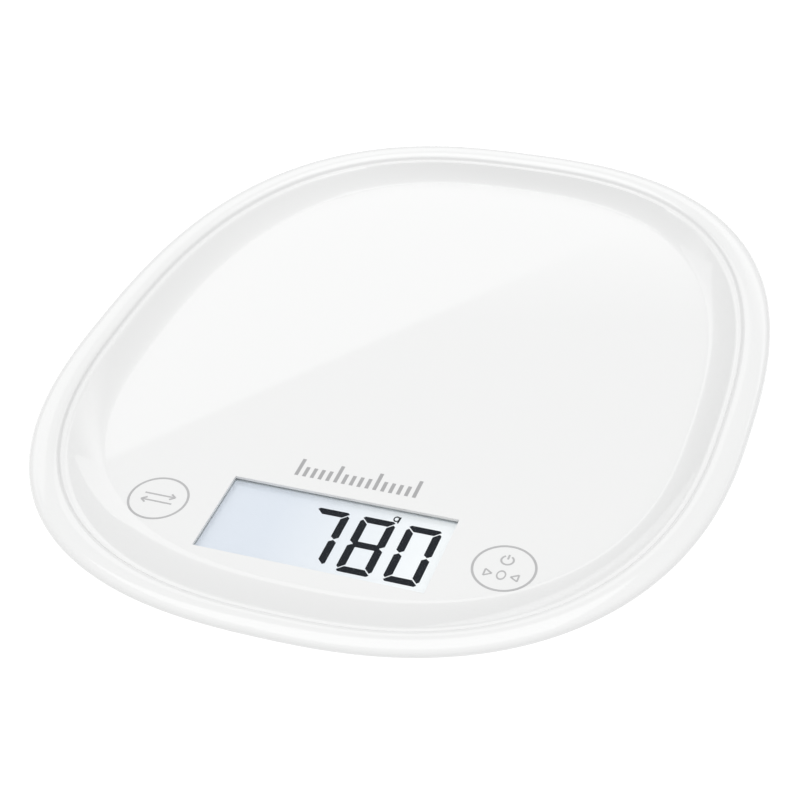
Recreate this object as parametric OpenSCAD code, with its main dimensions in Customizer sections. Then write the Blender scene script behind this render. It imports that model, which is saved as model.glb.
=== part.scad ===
// Slim kitchen scale: a dished platform on four load-cell feet, with a display and two touch keys.
// Origin: centre of the outline on the resting plane. +X is to the right as the display is read,
// +Y to the back, +Z up. Sizes are in millimetres.

/* [Outline] */
// Overall width, side to side
body_w = 190; // [188:1:200]
// Overall depth, front to back
body_d = 225; // [223:1:235]
// Overall height, resting plane to rim top
body_h = 18; // [18:0.25:20]
// Distance in front of the centre where the outline is widest
wide_at = 10.3; // [9:0.1:12]
// Squareness of the front half, 2 is an ellipse
front_square = 2.47; // [2.4:0.01:2.6]
// Squareness of the back half, 2 is an ellipse
back_square = 2.59; // [2.5:0.01:2.7]

/* [Platform] */
// Depth of the flat platform below the rim top
dish_depth = 6.4; // [5:0.1:6.6]
// Thickness of the top cover
cover_wall = 2; // [1.8:0.1:2.2]
// Width of the rim's rounded top, outline to crest
rim_w = 7.2; // [6:0.1:8]
// Height of the small step down inside the crest
step_h = 1; // [0.8:0.1:1.2]
// Width of the ledge at the foot of that step
ledge_w = 1.1; // [0.9:0.1:1.3]
// Distance from the outline to the flat platform at the sides
flat_side = 16.6; // [15:0.1:17]
// Distance from the outline to the flat platform at the front
flat_front = 23.4; // [22:0.1:24]
// Distance from the outline to the flat platform at the back
flat_back = 13.7; // [13:0.1:16]

/* [Display and keys] */
// Distance of the display's and keys' centre line in front of the origin
display_y = 69.5; // [69:0.1:70]
// Width of the display window
window_w = 61.8; // [58:0.1:62]
// Depth of the display window, front to back
window_d = 27.4; // [25:0.1:28]
// Distance of each key from the middle
key_x = 46.9; // [46:0.1:48]

/* [Feet] */
// Radius of a rubber pad
pad_r = 9; // [8:0.1:9.5]
// Distance of the front feet from the middle
front_foot_x = 51; // [50:0.5:51.5]
// Distance of the front feet in front of the origin
front_foot_y = 44; // [43:0.5:44]
// Distance of the back feet from the middle
back_foot_x = 45; // [44:0.5:45]
// Distance of the back feet behind the origin
back_foot_y = 50; // [48:0.5:50]
// Side of a square load cell
cell_side = 28; // [26:0.5:28]

/* [Battery] */
// Radius of the coin cell
coin_r = 10; // [10:0.5:10]
// Distance of the coin cell behind the origin
coin_y = 12; // [11:0.5:13]

/* [Hidden] */
half_w = body_w / 2;
front_len = body_d / 2 - wide_at;
back_len = body_d / 2 + wide_at;
outline_steps = 96;

// Heights, from the resting plane up
floor_low = 2.2;
floor_wall = 1.5;
floor_top = floor_low + floor_wall;
platform_z = body_h - dish_depth;
ceiling_z = platform_z - cover_wall;
crest_z = body_h - 0.65;
ledge_z = crest_z - step_h;
ledge_in = rim_w + ledge_w + 0.7;
cell_z = 5.2;
cell_t = 1.6;
board_z = 4.6;
board_t = 1.2;
board_top = board_z + board_t;
boss_low = 5.05;

// Display stack, from the top down
recess = 0.8;
pane_t = 0.9;
gasket_t = 0.4;
lcd_t = 2.1;
pane_top = platform_z - recess;
pane_z = pane_top - pane_t;
gasket_z = pane_z - gasket_t;
lcd_z = gasket_z - lcd_t;
pane_w = window_w + 4.2;
pane_d = window_d + 4;
lcd_w = 64;
lcd_d = 32;

// Fixings: [x, y] of each screw on the right-hand side; the left side mirrors them
case_screws = [[58, -66], [68, 8], [30, 82]];
board_screws = [[30, -46], [39.5, -80.5]];
case_bore = 1.2;
small_bore = 0.8;
thread_gap = 0.02;

// Feet: name, x, y and the direction in Y of the carrier's ears
FEET = [
    ["fl", -front_foot_x, -front_foot_y, 1],
    ["fr", front_foot_x, -front_foot_y, 1],
    ["bl", -back_foot_x, back_foot_y, -1],
    ["br", back_foot_x, back_foot_y, -1]
];
cup_r = pad_r + 1.2;
ear_x = 10;
ear_y = 18.5;
ear_z = 7;
ear_t = 1.4;
carrier_side = cell_side + 4;

// Battery compartment
hinge_y = coin_y + 15.3;
hinge_z = 3.9;
barrel_r = hinge_z - floor_low;
hinge_pin_r = 0.8;
hinge_gap = 0.06;
bay_w = 30.4;
bay_front = coin_y - 11.8;
bay_back = hinge_y + barrel_r + 0.3;
bay_wall = 1.5;
bay_roof = 8;
door_gap = 0.3;
door_t = 1.3;
coin_z = 4;
coin_t = 3.2;
coin_cap_t = 0.3;

// Leads, as [x, y, z] on the left side
lead_r = 0.5;
FRONT_LEAD = [[-46, -38, 4.6], [-36, -34, 4.6], [-28, -34, 4.6], [-20, -37, 5.1], [-18, -41, 6.4],
    [-18, -44.5, 6.4]];
BACK_LEAD = [[-40, 44, 4.6], [-28, 40, 4.6], [-21, 30, 4.6], [-20, 0, 4.6], [-20, -30, 4.6],
    [-14, -38, 5.2], [-12, -41, 6.4], [-12, -44.5, 6.4]];
BATTERY_LEAD = [[-5.5, -2.2, 5], [-6, -12, 4.6], [-6.5, -30, 4.6], [-6, -38, 5.2], [-5, -41, 6.4],
    [-5, -43, 6.4]];

// Touch springs
touch_turns = 4;
touch_wire_r = 0.25;
touch_r = 4.2;

// ---- Shape functions ----

function lerp(a, b, f) = a + (b - a) * f;

// Outline moved in by side, front and back, at height z: two superellipse halves that meet at the widest line
function ring(side, front, back, z) = [
    for (i = [0 : outline_steps - 1])
        let (
            a = i * 360 / outline_steps,
            half_y = sin(a) < 0 ? front_len - front : back_len - back,
            n = sin(a) < 0 ? front_square : back_square,
            r = pow(pow(abs(cos(a)) / (half_w - side), n) + pow(abs(sin(a)) / half_y, n), -1 / n)
        )
        [r * cos(a), r * sin(a) - wide_at, z]
];

function even_ring(inset, z) = ring(inset, inset, inset, z);

// Ring on the slope between the ledge (f = 0) and the flat (f = 1), shifted out by d
function slope_ring(f, z, d = 0) = ring(
    lerp(ledge_in, flat_side, f) - d, lerp(ledge_in, flat_front, f) - d, lerp(ledge_in, flat_back, f) - d, z);

// Closed solid through rings listed from the top inwards edge outwards and round to the underside
module loft(rings) {
    n = len(rings[0]);
    last = len(rings) - 1;
    polyhedron(
        points = [for (r = rings) each r],
        faces = concat(
            [[for (i = [n - 1 : -1 : 0]) i]],
            [for (k = [0 : last - 1], i = [0 : n - 1])
                let (j = (i + 1) % n)
                [k * n + i, k * n + j, (k + 1) * n + j, (k + 1) * n + i]],
            [[for (i = [0 : n - 1]) last * n + i]]
        ),
        convexity = 6
    );
}

function unit(v) = v / norm(v);

// Round wire or lead of radius r along a path that is never vertical
module tube(path, r, sides = 8) {
    last = len(path) - 1;
    points = [
        for (i = [0 : last])
            let (
                t = unit(path[min(i + 1, last)] - path[max(i - 1, 0)]),
                u = unit(cross(t, [0, 0, 1])),
                v = cross(u, t)
            )
            for (k = [0 : sides - 1])
                path[i] + r * (cos(k * 360 / sides) * u + sin(k * 360 / sides) * v)
    ];
    polyhedron(
        points = points,
        faces = concat(
            [[for (k = [0 : sides - 1]) k]],
            [for (i = [0 : last - 1], k = [0 : sides - 1])
                let (j = (k + 1) % sides)
                [i * sides + k, (i + 1) * sides + k, (i + 1) * sides + j, i * sides + j]],
            [[for (k = [sides - 1 : -1 : 0]) last * sides + k]]
        ),
        convexity = 6
    );
}

// A point list mirrored to the side s (-1 left, 1 right)
function to_side(path, s) = [for (p = path) [-s * p[0], p[1], p[2]]];

// Block centred on x and y, standing on z
module block(x, y, z, w, d, h) {
    translate([x - w / 2, y - d / 2, z]) cube([w, d, h]);
}

module post(x, y, z, r, h) {
    translate([x, y, z]) cylinder(r = r, h = h, $fn = 48);
}

module both_sides(points) {
    for (s = [-1, 1], p = points) translate([s * p[0], p[1], 0]) children();
}

module at_ears(f) {
    for (s = [-1, 1]) translate([f[1] + s * ear_x, f[2] + f[3] * ear_y, 0]) children();
}

// ---- Covers ----

module top_skin() {
    loft(concat(
        [for (f = [1, 0.8, 0.55, 0.3, 0]) slope_ring(f, platform_z + (ledge_z - platform_z) * pow(1 - f, 1.25))],
        [
            even_ring(rim_w + 0.7, ledge_z + 0.1),
            even_ring(rim_w + 0.1, crest_z),
            even_ring(rim_w - 0.8, body_h - 0.3),
            even_ring(rim_w - 2, body_h - 0.05),
            even_ring(rim_w - 3.6, body_h),
            even_ring(2, body_h - 0.15),
            even_ring(0.9, body_h - 0.5),
            even_ring(0.25, body_h - 0.9),
            even_ring(0, body_h - 1.3),
            even_ring(0.3, body_h - 1.7),
            even_ring(1.2, body_h - 2),
            even_ring(rim_w - 0.6, body_h - 2),
            slope_ring(0.5, lerp(body_h - 2, ceiling_z, 0.6), 0.6),
            slope_ring(1, ceiling_z, 0.6)
        ]
    ));
}

// Inside features of the top cover: screw posts and stiffening ribs
module top_posts() {
    sink = 0.8;
    both_sides(case_screws) post(0, 0, boss_low, 3, ceiling_z - boss_low + sink);
    both_sides(board_screws) post(0, 0, board_top, 2.2, ceiling_z - board_top + sink);
    for (f = FEET) at_ears(f) post(0, 0, ear_z + ear_t, 2.2, ceiling_z - ear_z - ear_t + sink);
    rib_t = 1.2;
    for (s = [-1, 1]) block(s * 24, 21, 6, rib_t, 114, ceiling_z - 6 + sink);
    for (y = [-14, 40, 74]) block(0, y, 7, 48, rib_t, ceiling_z - 7 + sink);
}

module top_cover() {
    pocket_gap = 0.2;
    bore_top = ceiling_z + 0.9;
    color("white") difference() {
        union() {
            top_skin();
            top_posts();
        }
        block(0, -display_y, ceiling_z - 1, window_w, window_d, cover_wall + 2);
        block(0, -display_y, ceiling_z - 1, pane_w + pocket_gap, pane_d + pocket_gap,
            pane_top - ceiling_z + 1.02);
        both_sides(case_screws) post(0, 0, boss_low - 1, case_bore + thread_gap, bore_top - boss_low);
        both_sides(board_screws) post(0, 0, board_top - 1, small_bore + thread_gap, bore_top - board_top);
        for (f = FEET) at_ears(f) post(0, 0, ear_z, small_bore + thread_gap, bore_top - ear_z);
    }
}

module bottom_skin() {
    edge_z = body_h - 2.15;
    loft([
        even_ring(22.5, floor_top),
        even_ring(20.9, floor_top + 0.15),
        even_ring(18.6, 4.6),
        even_ring(14.8, 6.4),
        even_ring(11, 9.4),
        even_ring(7.8, 13),
        even_ring(5.8, edge_z),
        even_ring(4.2, edge_z),
        even_ring(6.2, 12.6),
        even_ring(9.6, 8.8),
        even_ring(13.8, 5.4),
        even_ring(18, 3.2),
        even_ring(20.5, floor_low + 0.2),
        even_ring(22.5, floor_low)
    ]);
}

module battery_bay() {
    outer_w = bay_w + 2 * bay_wall;
    bay_len = bay_back - bay_front;
    mid = (bay_front + bay_back) / 2;
    difference() {
        block(0, mid, floor_low, outer_w, bay_len + 2 * bay_wall, bay_roof + 1.2 - floor_low);
        block(0, mid, floor_low - 1, bay_w, bay_len, bay_roof + 1 - floor_low);
    }
    difference() {
        post(0, coin_y, coin_z, coin_r + 1.6, bay_roof + 0.5 - coin_z);
        post(0, coin_y, coin_z - 1, coin_r + 0.2, bay_roof + 1 - coin_z);
        block(coin_r, coin_y, coin_z - 1, 8, 11, bay_roof + 1 - coin_z);
    }
}

// Round bar along X through the door's hinge line
module hinge_bar(r, length) {
    translate([-length / 2, hinge_y, hinge_z]) rotate([0, 90, 0]) cylinder(r = r, h = length, $fn = 64);
}

module bottom_cover() {
    mid = (bay_front + bay_back) / 2;
    seat_z = 3.8;
    color("whitesmoke") difference() {
        union() {
            difference() {
                bottom_skin();
                block(0, mid, floor_low - 1, bay_w + bay_wall, bay_back - bay_front + bay_wall, 4);
            }
            both_sides(case_screws) post(0, 0, floor_low, 4.2, boss_low - 0.05 - floor_low);
            battery_bay();
        }
        both_sides(case_screws) {
            post(0, 0, floor_low - 1, 2.8, seat_z - floor_low + 1);
            post(0, 0, floor_low - 1, 1.45, 6);
        }
        for (f = FEET) post(f[1], f[2], floor_low - 1, cup_r + 0.6, floor_wall + 3);
        block(0, bay_front - 1.6, floor_low - 1, 11, 2.4, 1.6);
        hinge_bar(hinge_pin_r + hinge_gap, bay_w + 2 * bay_wall + 2);
    }
}

// ---- Display ----

module display_window() {
    color([0.9, 0.95, 1, 0.4]) block(0, -display_y, pane_z, pane_w, pane_d, pane_t);
}

module frame_of(z, h, outer_w, outer_d, inner_w, inner_d) {
    difference() {
        block(0, -display_y, z, outer_w, outer_d, h);
        block(0, -display_y, z - 1, inner_w, inner_d, h + 2);
    }
}

module window_gasket() {
    color("dimgray") frame_of(gasket_z, gasket_t, pane_w - 1, pane_d - 0.4, window_w + 0.6, window_d + 0.8);
}

// Two glass plates with the contact ledge along the front edge of the lower one
module lcd_cell() {
    ledge = 2;
    color("lightsteelblue") union() {
        block(0, -display_y, lcd_z, lcd_w, lcd_d, lcd_t / 2);
        block(0, -display_y + ledge / 2, lcd_z, lcd_w, lcd_d - ledge, lcd_t);
    }
}

module lcd_frame() {
    color("white") frame_of(board_top, gasket_z - board_top, lcd_w + 4, lcd_d + 4, lcd_w + 0.3, lcd_d + 0.3);
}

module backlight_panel() {
    color("aliceblue") block(0, -display_y + 1, board_top, 62, 28, lcd_z - board_top);
}

module lcd_connector_strip() {
    color("black") block(0, -display_y - lcd_d / 2 + 1.2, board_top, 60, 1.6, lcd_z - board_top);
}

// ---- Electronics ----

module main_board() {
    color("darkgreen") difference() {
        translate([0, 0, board_z]) linear_extrude(board_t) union() {
            translate([-34, -87]) square([68, 45]);
            translate([-53, -74]) square([106, 11]);
            for (s = [-1, 1]) translate([s * 39.5 - 3.5, -84]) square([7, 12]);
        }
        both_sides(board_screws) post(0, 0, board_z - 1, small_bore + 0.25, board_t + 2);
    }
}

module board_chips() {
    color("black") union() {
        block(-8, -47.6, board_top, 6, 4.8, 1.2);
        block(4, -47, board_top, 5, 5, 1.1);
        for (x = [10.5, 14]) post(x, -47.5, board_top, 1.4, 2.2);
        for (x = [19 : 2.2 : 25]) block(x, -47.6, board_top, 1.2, 2, 0.6);
        for (x = [-24 : 2.2 : -17]) block(x, -48.4, board_top, 1.2, 2, 0.6);
    }
}

// Coil under a key that carries the touch signal from the cover's underside to the board
module touch_spring(x) {
    steps = 14;
    low = board_top + touch_wire_r + 0.02;
    high = ceiling_z - touch_wire_r - 0.02;
    color("gold") tube([
        for (i = [0 : touch_turns * steps])
            let (a = i * 360 / steps, f = i / (touch_turns * steps))
            [x + touch_r * cos(a), -display_y + touch_r * sin(a), lerp(low, high, f)]
    ], touch_wire_r, 6);
}

// Small foil gauges on the underside of each load cell's tongue
module strain_gauges() {
    color("orange") for (f = FEET) block(f[1], f[2] + 5.2, cell_z - 0.25, 6, 3, 0.25);
}

module load_cell_leads() {
    color("red") for (s = [-1, 1]) {
        tube(to_side(FRONT_LEAD, s), lead_r);
        tube(to_side(BACK_LEAD, s), lead_r);
    }
}

module battery_leads() {
    color("black") for (s = [-1, 1]) tube(to_side(BATTERY_LEAD, s), lead_r);
}

// ---- Battery compartment ----

module battery_door() {
    front = bay_front + door_gap;
    width = bay_w - 2 * door_gap;
    color("whitesmoke") difference() {
        union() {
            translate([-width / 2, front, floor_low]) cube([width, hinge_y - front, door_t]);
            hinge_bar(barrel_r, width);
            hinge_bar(hinge_pin_r, bay_w + 2.4);
            for (s = [-1, 1]) block(s * 5, coin_y, floor_low + door_t - 0.1, 1.2, 12, 0.5);
        }
        block(0, front + 1.2, floor_low - 1, 10, 2, 1.6);
    }
}

module coin_cell() {
    color("silver") union() {
        post(0, coin_y, coin_z, coin_r, coin_t - coin_cap_t);
        post(0, coin_y, coin_z, coin_r - 1.2, coin_t);
    }
}

// Leaf on the bay's roof with two domes that press on the cell's cap
module battery_contact_negative() {
    leaf_t = 0.3;
    color("silver") union() {
        block(0, coin_y, bay_roof - leaf_t, 12, 12, leaf_t);
        for (s = [-1, 1]) post(s * 3.5, coin_y, coin_z + coin_t, 1.2, bay_roof - coin_z - coin_t);
    }
}

// Upright leaf that presses on the cell's rim
module battery_contact_positive() {
    leaf_t = 0.3;
    color("silver") union() {
        block(coin_r + leaf_t / 2, coin_y, coin_z + 0.2, leaf_t, 7, bay_roof - coin_z - 0.2);
        block(coin_r + 1.3, coin_y, bay_roof - leaf_t, 2.4, 7, leaf_t);
    }
}

// ---- Feet ----

// Square spring-steel plate with a tongue cut free on three sides
module load_cell(f) {
    slot = 2;
    tongue_w = cell_side / 2;
    color("lightgray") translate([f[1], f[2], cell_z]) linear_extrude(cell_t) difference() {
        square(cell_side, center = true);
        difference() {
            translate([-tongue_w / 2 - slot, -tongue_w / 2 - 3]) square([tongue_w + 2 * slot, tongue_w + 2]);
            translate([-tongue_w / 2, -tongue_w / 2 - 1]) square([tongue_w, tongue_w + 2]);
        }
    }
}

module cell_carrier(f) {
    fit = 0.1;
    top = ceiling_z - 0.2;
    color("white") difference() {
        union() {
            block(f[1], f[2], cell_z + 0.2, carrier_side, carrier_side, top - cell_z - 0.2);
            at_ears(f) {
                post(0, 0, ear_z, 3, ear_t);
                block(0, -f[3] * 2, ear_z, 6, 4, ear_t);
            }
        }
        block(f[1], f[2], cell_z - 1, cell_side + 2 * fit, cell_side + 2 * fit, cell_t + 1);
        block(f[1], f[2], cell_z, cell_side - 7, cell_side - 7, 6);
        at_ears(f) post(0, 0, ear_z - 1, small_bore + 0.25, 4);
    }
}

module foot_cup(f) {
    color("lightgray") difference() {
        union() {
            post(f[1], f[2], 0.9, cup_r, 2.5);
            post(f[1], f[2], 2, 3.2, cell_z - 2);
        }
        post(f[1], f[2], 0, pad_r + thread_gap, 1.6);
    }
}

module foot_pad(f) {
    color("gray") post(f[1], f[2], 0, pad_r, 1.6);
}

// ---- Screws ----

// Cross-head screw, head down, with its tip at the top
module screw(head_z, head_r, head_h, r, tip_z) {
    difference() {
        union() {
            post(0, 0, head_z, head_r, head_h);
            post(0, 0, head_z, r, tip_z - head_z);
        }
        for (a = [0, 90]) rotate(a) block(0, 0, head_z - 0.1, head_r * 1.2, 0.5, head_h / 2 + 0.1);
    }
}

module case_screws() {
    color("silver") both_sides(case_screws) screw(2.6, 2.4, 1.2, case_bore, 9.2);
}

module board_screws() {
    color("silver") both_sides(board_screws) screw(3.8, 1.6, board_z - 3.8, small_bore, 9.2);
}

module carrier_screws() {
    color("silver") for (f = FEET) at_ears(f) screw(ear_z - 0.9, 1.6, 0.9, small_bore, 9.4);
}

top_cover();
bottom_cover();
display_window();
window_gasket();
lcd_cell();
lcd_frame();
backlight_panel();
lcd_connector_strip();
main_board();
board_chips();
touch_spring(-key_x);  // units_key_spring
touch_spring(key_x);  // tare_key_spring
strain_gauges();
load_cell_leads();
battery_door();
coin_cell();
battery_contact_negative();
battery_contact_positive();
battery_leads();
case_screws();
board_screws();
carrier_screws();
for (f = FEET) {
    load_cell(f);
    cell_carrier(f);
    foot_cup(f);
    foot_pad(f);
}
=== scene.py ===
"""Slim kitchen scale: the finished look of every piece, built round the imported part.

Shapes are built in millimetres in the part's own frame and written to their meshes in metres.
"""

import logging
import math
from dataclasses import dataclass, field
from enum import Enum
from functools import cache
from typing import Any, Iterable, NamedTuple, Sequence

import bmesh
import bpy
from mathutils import Matrix, Vector


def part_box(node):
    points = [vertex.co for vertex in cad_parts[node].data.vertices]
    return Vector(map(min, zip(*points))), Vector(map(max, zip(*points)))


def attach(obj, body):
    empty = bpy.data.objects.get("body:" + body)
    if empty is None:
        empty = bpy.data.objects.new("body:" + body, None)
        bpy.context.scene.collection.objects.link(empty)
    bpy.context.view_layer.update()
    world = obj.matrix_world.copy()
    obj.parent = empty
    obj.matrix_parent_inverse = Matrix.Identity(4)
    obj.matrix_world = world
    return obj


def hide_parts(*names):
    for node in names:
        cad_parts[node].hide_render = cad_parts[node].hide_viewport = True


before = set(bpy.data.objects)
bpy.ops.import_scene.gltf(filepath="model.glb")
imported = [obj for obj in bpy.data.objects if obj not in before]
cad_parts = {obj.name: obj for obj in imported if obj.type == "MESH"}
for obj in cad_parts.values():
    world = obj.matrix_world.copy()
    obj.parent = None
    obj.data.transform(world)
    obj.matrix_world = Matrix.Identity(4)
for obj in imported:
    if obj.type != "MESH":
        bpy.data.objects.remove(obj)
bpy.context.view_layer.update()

MM = 0.001
FULL_TURN = 2 * math.pi
CRISP = 35.0  # edges turning more than this many degrees stay crisp

Colour = tuple[float, float, float]
Point2 = tuple[float, float]
Point3 = tuple[float, float, float]

log = logging.getLogger("kitchen_scale")


# ---------------------------------------------------------------- material nodes


class Wire:
    """A number that varies over a surface, as the output of a node."""

    def __init__(self, graph: "Graph", socket: bpy.types.NodeSocket) -> None:
        """Keeps the graph that the socket belongs to."""
        self.graph = graph
        self.socket = socket

    def _maths(self, operation: str, *values: Any) -> "Wire":
        """Adds a Math node.

        Args:
            operation: the Math node's operation.
            values: its inputs, wires or numbers.

        Returns:
            The node's result.
        """
        node = self.graph.add("ShaderNodeMath", {"operation": operation}, dict(enumerate(values)))
        return Wire(self.graph, node.outputs[0])

    def __add__(self, other: Any) -> "Wire":
        """self + other."""
        return self._maths("ADD", self, other)

    def __radd__(self, other: Any) -> "Wire":
        """other + self."""
        return self._maths("ADD", other, self)

    def __sub__(self, other: Any) -> "Wire":
        """self - other."""
        return self._maths("SUBTRACT", self, other)

    def __rsub__(self, other: Any) -> "Wire":
        """other - self."""
        return self._maths("SUBTRACT", other, self)

    def __mul__(self, other: Any) -> "Wire":
        """self * other."""
        return self._maths("MULTIPLY", self, other)

    def between(self, low: float, high: float) -> "Wire":
        """0 at low and below, 1 at high and above, straight between them."""
        node = self.graph.add(
            "ShaderNodeMapRange", {"clamp": True}, {"Value": self, "From Min": low, "From Max": high}
        )
        return Wire(self.graph, node.outputs[0])


class Graph:
    """The nodes of one material or of the world."""

    def __init__(self, owner: bpy.types.Material | bpy.types.World) -> None:
        """Empties the owner's nodes, to start again."""
        self.owner = owner
        owner.use_nodes = True
        self.tree = owner.node_tree
        self.tree.nodes.clear()

    def add(
        self, kind: str, settings: dict[str, Any] | None = None, sockets: dict[str | int, Any] | None = None
    ) -> bpy.types.Node:
        """Adds any node.

        Args:
            kind: the node's type.
            settings: properties, set first.
            sockets: the values or links of its inputs, by name or number.

        Returns:
            The new node.
        """
        node = self.tree.nodes.new(kind)
        for name, value in (settings or {}).items():
            setattr(node, name, value)
        for name, value in (sockets or {}).items():
            self.feed(node.inputs[name], value)
        return node

    def feed(self, socket: bpy.types.NodeSocket, value: Any) -> None:
        """Links a wire or an output to an input, or sets the input to a constant."""
        if isinstance(value, Wire):
            value = value.socket
        if isinstance(value, bpy.types.NodeSocket):
            self.tree.links.new(value, socket)
        else:
            socket.default_value = value

    def place(self) -> bpy.types.NodeSocket:
        """The point on the object, in metres."""
        return self.add("ShaderNodeTexCoord").outputs["Object"]

    def axes(self) -> tuple[Wire, Wire, Wire]:
        """The point's x, y and z, in metres."""
        split = self.add("ShaderNodeSeparateXYZ", None, {0: self.place()})
        return tuple(Wire(self, split.outputs[i]) for i in range(3))

    def noise(self, size_mm: float, detail: float = 2.0, stretch: Point3 = (1, 1, 1)) -> Wire:
        """Soft noise from 0 to 1.

        Args:
            size_mm: the size of its features.
            detail: octaves of finer noise.
            stretch: factors on the coordinates, to draw the features out.

        Returns:
            The noise at the point.
        """
        vector = self.place()
        if stretch != (1, 1, 1):
            node = self.add("ShaderNodeVectorMath", {"operation": "MULTIPLY"}, {0: vector, 1: stretch})
            vector = node.outputs[0]
        node = self.add(
            "ShaderNodeTexNoise", None, {"Vector": vector, "Scale": 1 / (size_mm * MM), "Detail": detail}
        )
        return Wire(self, node.outputs["Fac"])

    def blend(self, factor: Any, low: Colour, high: Colour) -> bpy.types.NodeSocket:
        """A colour between two, by a factor from 0 to 1."""
        node = self.add("ShaderNodeMix", {"data_type": "RGBA"})
        for socket, value in zip(
            [s for s in node.inputs if s.enabled], (factor, (*low, 1.0), (*high, 1.0))
        ):
            self.feed(socket, value)
        return next(s for s in node.outputs if s.enabled)

    def dot(self, vector: bpy.types.NodeSocket, other: Point3) -> bpy.types.NodeSocket:
        """The dot product of a vector and a constant one."""
        node = self.add("ShaderNodeVectorMath", {"operation": "DOT_PRODUCT"}, {0: vector, 1: other})
        return node.outputs["Value"]

    def bump(self, height: Wire, depth_mm: float) -> bpy.types.NodeSocket:
        """A normal from a height of 0 to 1 that stands depth_mm proud at 1."""
        sockets = {"Strength": 1.0, "Distance": depth_mm * MM, "Height": height}
        return self.add("ShaderNodeBump", None, sockets).outputs[0]

    def shade(self, sockets: dict[str, Any]) -> bpy.types.Material:
        """Ends the graph in a Principled BSDF with those inputs."""
        shader = self.add("ShaderNodeBsdfPrincipled", None, sockets)
        self.add("ShaderNodeOutputMaterial", None, {0: shader.outputs[0]})
        return self.owner


def shift(colour: Colour, share: float) -> Colour:
    """The colour made darker (share below 0) or lighter, within 0 to 1."""
    return tuple(min(1.0, max(0.0, c * (1 + share))) for c in colour)


# ---------------------------------------------------------------- finishes


class Texture(Enum):
    """How a surface's fine relief runs."""

    SMOOTH = "smooth"
    SPARK = "spark-eroded grain"
    BRUSHED_X = "lines along X"
    BRUSHED_Y = "lines along Y"
    FOAM = "open pores"


@dataclass(frozen=True)
class Finish:
    """A moulded, plated or rolled surface and what varies over it.

    Attributes:
        name: the material's name.
        colour: its middle colour.
        roughness: its middle roughness.
        metallic: 1 for metal.
        ior: index of refraction.
        coat: weight of a clear coat.
        mottle: share by which the colour varies.
        mottle_mm: size of the patches of that variation.
        wear: how much the roughness varies.
        texture: the fine relief.
        grain_mm: size of the relief's features.
        relief_mm: height of the relief.
    """

    name: str
    colour: Colour
    roughness: float
    metallic: float = 0.0
    ior: float = 1.46
    coat: float = 0.0
    mottle: float = 0.02
    mottle_mm: float = 18.0
    wear: float = 0.02
    texture: Texture = Texture.SMOOTH
    grain_mm: float = 0.5
    relief_mm: float = 0.004

    def relief(self, graph: Graph) -> Wire:
        """The height of the fine relief, from 0 to 1."""
        thin, long = 1.0, 0.02
        stretches = {
            Texture.BRUSHED_X: (long, thin, thin),
            Texture.BRUSHED_Y: (thin, long, thin),
        }
        if self.texture is Texture.FOAM:
            cells = graph.add(
                "ShaderNodeTexVoronoi", None, {"Vector": graph.place(), "Scale": 1 / (self.grain_mm * MM)}
            )
            return Wire(graph, cells.outputs["Distance"])
        return graph.noise(self.grain_mm, 3.0, stretches.get(self.texture, (1, 1, 1)))

    def colour_over(self, graph: Graph, patches: Wire) -> bpy.types.NodeSocket:
        """The colour at a point, from the patches of variation."""
        return graph.blend(patches, shift(self.colour, -self.mottle), shift(self.colour, self.mottle))

    def extras(self, graph: Graph) -> dict[str, Any]:
        """Further inputs of the shader; none for a plain surface."""
        return {}

    @cache
    def material(self) -> bpy.types.Material:
        """The finish as a material, made once."""
        graph = Graph(bpy.data.materials.new(f"finish_{self.name}"))
        patches = graph.noise(self.mottle_mm)
        relief = self.relief(graph)
        low = max(0.0, self.roughness - self.wear)
        return graph.shade(
            {
                "Base Color": self.colour_over(graph, patches),
                "Roughness": low + patches * (2 * self.wear),
                "Metallic": self.metallic,
                "IOR": self.ior,
                "Coat Weight": self.coat,
                "Normal": graph.bump(relief, self.relief_mm),
                **self.extras(graph),
            }
        )


@dataclass(frozen=True)
class DisplayGlass(Finish):
    """The display face with painted light: a painted glow (emission that lights it evenly despite the
    shaded recess) and a painted reflection that runs from cool and darker at the left to nearly white at
    the right.
    """

    # left and right: the two ends of the painted reflection gradient across the face
    left: Colour = (0.722, 0.776, 0.848)
    right: Colour = (0.90, 0.935, 0.95)
    from_mm: float = -16.0
    to_mm: float = 26.0
    # glow: the share of the face's colour given off as painted glow
    glow: float = 0.5

    def tint(self, graph: Graph, patches: Wire, share: float) -> bpy.types.NodeSocket:
        """A share of the face's colour at a point: the painted reflection from left to right, with faint
        clouding.
        """
        x, _, _ = graph.axes()
        across = x.between(self.from_mm * MM, self.to_mm * MM) + (patches - 0.5) * self.mottle
        return graph.blend(across, shift(self.left, share - 1), shift(self.right, share - 1))

    def colour_over(self, graph: Graph, patches: Wire) -> bpy.types.NodeSocket:
        """The part of the colour that the room lights, carrying the painted reflection gradient."""
        return self.tint(graph, patches, 1 - self.glow)

    def extras(self, graph: Graph) -> dict[str, Any]:
        """Painted glow: emission that lights the face evenly, in place of room light that the recess
        shades.
        """
        return {
            "Emission Color": self.tint(graph, graph.noise(self.mottle_mm), 1.0),
            "Emission Strength": self.glow,
        }


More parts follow.
